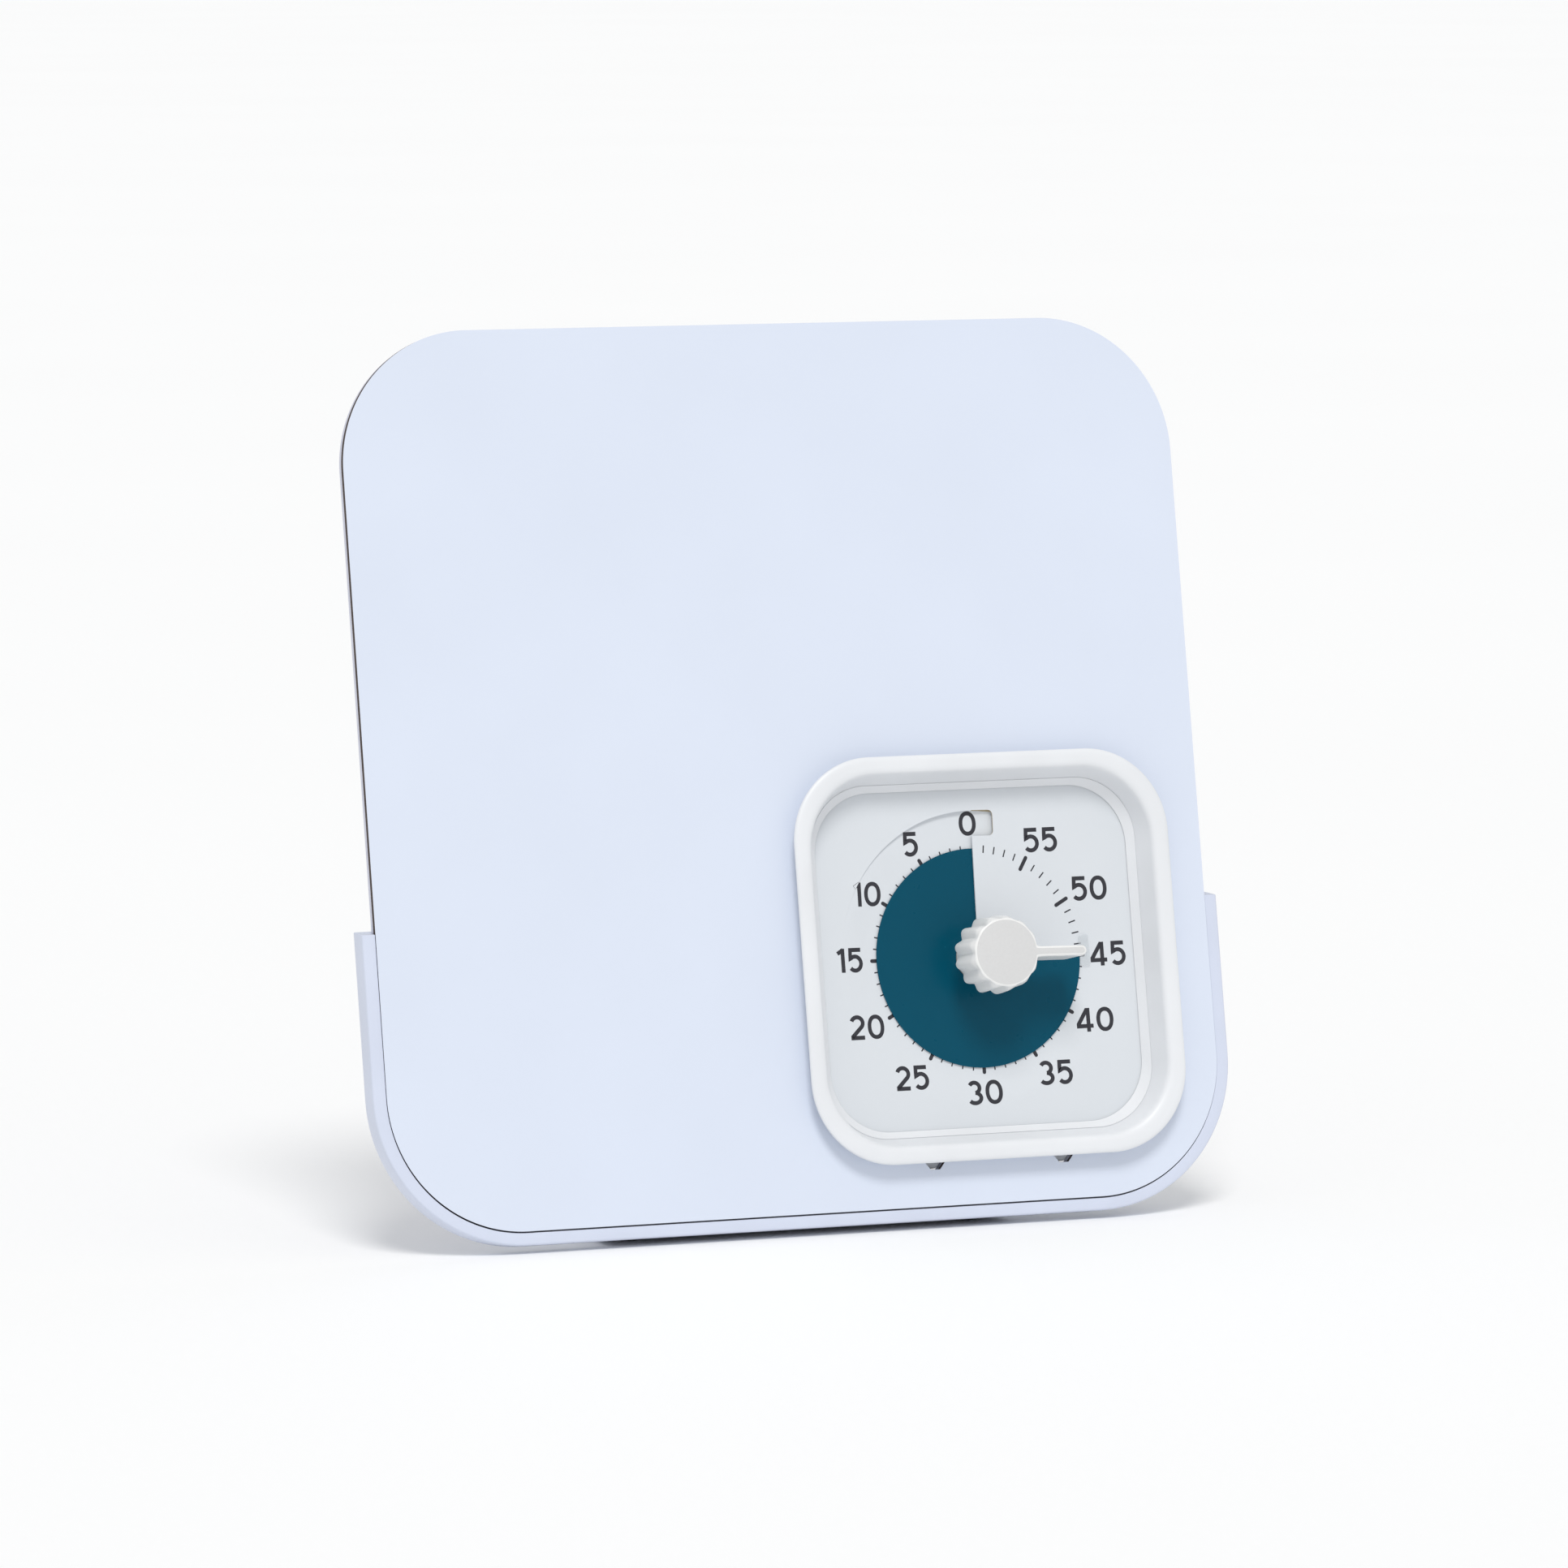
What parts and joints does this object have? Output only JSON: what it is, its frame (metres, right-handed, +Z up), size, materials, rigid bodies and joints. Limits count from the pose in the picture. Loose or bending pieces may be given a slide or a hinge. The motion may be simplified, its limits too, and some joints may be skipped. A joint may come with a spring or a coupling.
{
  "type": "dry-erase board with countdown timer",
  "caption": "Square white dry-erase board leaning in a U-shaped cradle stand, with a removable 60-minute countdown timer, teal disc and fluted pointer knob in its lower right corner.",
  "frame": {"origin": "on the floor plane under the pads, at the middle of the object's box", "axes": "+X to the right as seen from the front, +Y towards the back, +Z up; the board leans back 11 degrees"},
  "size_m": [0.3144, 0.0962, 0.3073],
  "materials": {
    "writing_surface": "smooth white dry-erase film on a dark-edged sheet",
    "panel_plastic": "fine satin grain",
    "stand_plastic": "satin, faintly blue white",
    "timer_plastic": "satin warm white",
    "foot_plastic": "light grey satin",
    "dial_face": "printed white card with a soft sheen",
    "disc_teal": "semi-gloss dark teal film",
    "clear_plastic": "clear polyester film",
    "knob_plastic": "satin white with a finely textured top",
    "rubber": "matt anti-slip pad",
    "zinc_steel": "zinc plated",
    "brass": "turned brass",
    "nickel": "nickel plated",
    "movement_plastic": "black moulded",
    "gear_nylon": "natural nylon",
    "circuit_green": "green solder mask",
    "battery_wrap": "plain dark shrink wrap"
  },
  "bodies": {
    "stand": {"cradle": "stand_plastic", "base_foot": "stand_plastic", "base_pad_1": "rubber", "base_pad_2": "rubber", "base_pad_3": "rubber", "base_pad_4": "rubber", "foot_screw_1": "zinc_steel", "foot_screw_2": "zinc_steel", "foot_screw_3": "zinc_steel"},
    "board": {"writing_board": "writing_surface", "back_panel": "panel_plastic"},
    "timer": {"bezel_ring": "timer_plastic", "rear_case": "timer_plastic", "dial_plate": "dial_face", "timer_foot_left": "foot_plastic", "timer_foot_right": "foot_plastic", "case_screw_1": "zinc_steel", "case_screw_2": "zinc_steel", "case_screw_3": "zinc_steel", "case_screw_4": "zinc_steel", "movement_case": "movement_plastic", "movement_cover": "movement_plastic", "stepper_motor": "zinc_steel", "circuit_board": "circuit_green", "buzzer": "movement_plastic", "battery": "battery_wrap", "battery_tray": "timer_plastic", "contact_spring": "nickel", "contact_plate": "nickel"},
    "knob": {"knob": "knob_plastic", "disc_hub": "knob_plastic", "spindle": "zinc_steel", "centre_wheel": "gear_nylon"},
    "disc": {"timer_disc": "disc_teal", "disc_tab": "clear_plastic"},
    "intermediate": {"intermediate_wheel": "gear_nylon"},
    "pinion": {"motor_pinion": "brass"},
    "door": {"battery_door": "timer_plastic"},
    "switch": {"sound_switch": "movement_plastic"}
  },
  "joints": [
    {"name": "board_lift", "type": "slide", "parent": "stand", "child": "board", "axis": [0, 0.1908, 0.9816], "range_m": [0, 0.12]},
    {"name": "timer_release", "type": "slide", "parent": "board", "child": "timer", "axis": [0, -0.9816, 0.1908], "range_m": [0, 0.06]},
    {"name": "knob_spin", "type": "hinge", "parent": "timer", "child": "knob", "pos_m": [0.068, -0.02167, 0.0899], "axis": [0, -0.9816, 0.1908], "range_deg": [-270, 90]},
    {"name": "disc_feed", "type": "slide", "parent": "knob", "child": "disc", "axis": [0, -0.9816, 0.1908], "range_m": [-0.00113, 0.00038]},
    {"name": "intermediate_spin", "type": "hinge", "parent": "timer", "child": "intermediate", "pos_m": [0.05386, -0.01209, 0.07363], "axis": [0, -0.9816, 0.1908], "range_deg": [-136, 406]},
    {"name": "pinion_spin", "type": "hinge", "parent": "timer", "child": "pinion", "pos_m": [0.04537, -0.01048, 0.08196], "axis": [0, -0.9816, 0.1908], "range_deg": [-811, 271]},
    {"name": "door_release", "type": "slide", "parent": "timer", "child": "door", "axis": [0, 0.9816, -0.1908], "range_m": [0, 0.03]},
    {"name": "switch_slide", "type": "slide", "parent": "timer", "child": "switch", "axis": [1, 0, 0], "range_m": [0, 0.005]}
  ],
  "couplings": [
    {"joint": "disc_feed", "follows": "knob_spin", "m_per_rad": 0.00023873},
    {"joint": "intermediate_spin", "follows": "knob_spin", "ratio": -1.5},
    {"joint": "pinion_spin", "follows": "knob_spin", "ratio": 3}
  ]
}
